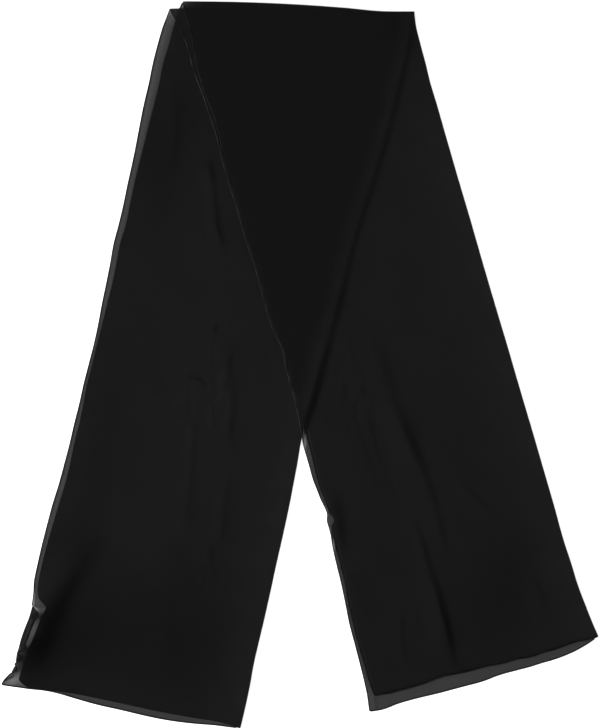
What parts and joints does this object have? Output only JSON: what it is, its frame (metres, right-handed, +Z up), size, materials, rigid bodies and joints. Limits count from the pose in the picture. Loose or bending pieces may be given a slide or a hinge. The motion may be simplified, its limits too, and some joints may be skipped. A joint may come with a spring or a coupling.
{
  "type": "folded chiffon scarf",
  "caption": "Long oblong sheer chiffon scarf with narrow rolled hems, folded in half lengthwise and across, lying flat with its doubled tails splayed into a V.",
  "frame": {"origin": "middle of the outline at the level of the surface that the scarf lies on", "axes": "+Z up off the surface, +Y towards the cross fold where the two tails meet, +X towards the end of the front tail"},
  "size_m": [0.7619, 0.9276, 0.0057],
  "materials": {
    "chiffon": "matt sheer silk chiffon, black"
  },
  "bodies": {
    "root": {"front_tail_upper_layer": "chiffon", "front_tail_lower_layer": "chiffon", "back_tail_upper_layer": "chiffon", "back_tail_lower_layer": "chiffon"}
  },
  "joints": []
}
